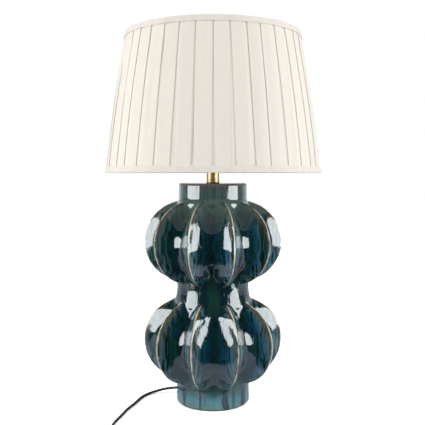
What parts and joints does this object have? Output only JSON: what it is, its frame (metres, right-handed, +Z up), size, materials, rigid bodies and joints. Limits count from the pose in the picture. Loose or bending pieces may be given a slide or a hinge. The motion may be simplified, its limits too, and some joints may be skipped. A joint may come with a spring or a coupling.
{
  "type": "table lamp",
  "caption": "Table lamp with a fluted double-gourd glazed ceramic base, brass neck and a box-pleated tapered drum shade on a screw-base lampholder.",
  "frame": {"origin": "centre of the foot's felt pad on the surface the lamp stands on", "axes": "+Z up along the lamp's axis, -Y is the front as pictured, +X to its right"},
  "size_m": [0.4509, 0.5678, 0.7655],
  "materials": {
    "glaze": "glossy teal reactive glaze with cream ridges",
    "felt": "dark felt",
    "steel": "zinc-plated steel",
    "rubber": "matt black rubber",
    "brass": "satin brass",
    "nylon": "natural nylon",
    "holder": "black moulded thermoset",
    "porcelain": "unglazed white steatite",
    "nickel": "nickel plate",
    "solder": "tinned contact",
    "bulb_glass": "black vitrite",
    "bulb_collar": "white moulded plastic",
    "opal": "opal diffuser",
    "pleated_cloth": "ivory box-pleated cloth",
    "lining": "white laminated lining",
    "binding": "ivory folded cloth band",
    "wire": "white coated steel wire",
    "cord": "matt black flexible cord",
    "switch": "black moulded plastic",
    "plug": "black moulded plastic"
  },
  "bodies": {
    "root": {"felt_pad": "felt", "ceramic_body": "glaze", "threaded_rod": "steel", "lower_washer": "steel", "spring_washer": "steel", "lower_nut": "steel", "neck_gasket": "rubber", "neck_tube": "brass", "rod_bush": "nylon", "neck_cap": "brass", "holder_cap": "holder", "grub_screw": "steel", "holder_skirt": "holder", "holder_insulator": "porcelain", "screw_shell": "nickel", "centre_contact": "brass", "terminal_screws": "brass", "cord_grommet": "rubber", "cord_inside": "cord", "cord_lead": "cord", "cord_tail": "cord", "cord_end": "cord", "cord_coil": "cord", "switch_base": "switch", "switch_cover": "switch", "rocker_pin": "steel", "switch_screws": "steel", "plug_body": "plug", "plug_pins": "nickel", "plug_relief": "plug"},
    "bulb_tip": {"bulb_contact": "solder", "bulb_insulator": "bulb_glass"},
    "bulb": {"bulb_cap": "nickel", "bulb_collar": "bulb_collar", "bulb_globe": "opal"},
    "shade": {"shade_cover": "pleated_cloth", "shade_lining": "lining", "top_binding": "binding", "bottom_binding": "binding", "top_ring": "wire", "bottom_ring": "wire", "shade_spider": "wire"},
    "clamp": {"clamp_ring": "holder"},
    "rocker": {"switch_rocker": "switch"}
  },
  "joints": [
    {"name": "bulb_travel", "type": "slide", "parent": "root", "child": "bulb_tip", "axis": [0, 0, 1], "range_m": [0, 0.02]},
    {"name": "bulb_turn", "type": "hinge", "parent": "bulb_tip", "child": "bulb", "pos_m": [0, 0, 0.54], "axis": [0, 0, 1], "range_deg": [0, 1980]},
    {"name": "shade_turn", "type": "hinge", "parent": "root", "child": "shade", "pos_m": [0, 0, 0.524], "axis": [0, 0, 1], "continuous": true},
    {"name": "clamp_turn", "type": "hinge", "parent": "root", "child": "clamp", "pos_m": [0, 0, 0.529], "axis": [0, 0, 1], "range_deg": [0, 720]},
    {"name": "rocker_tip", "type": "hinge", "parent": "root", "child": "rocker", "pos_m": [-0.118, -0.224, 0.0124], "axis": [0.0698, 0.9976, 0], "range_deg": [-18, 0]}
  ],
  "couplings": [
    {"joint": "bulb_travel", "follows": "bulb_turn", "m_per_rad": 0.00057757}
  ]
}
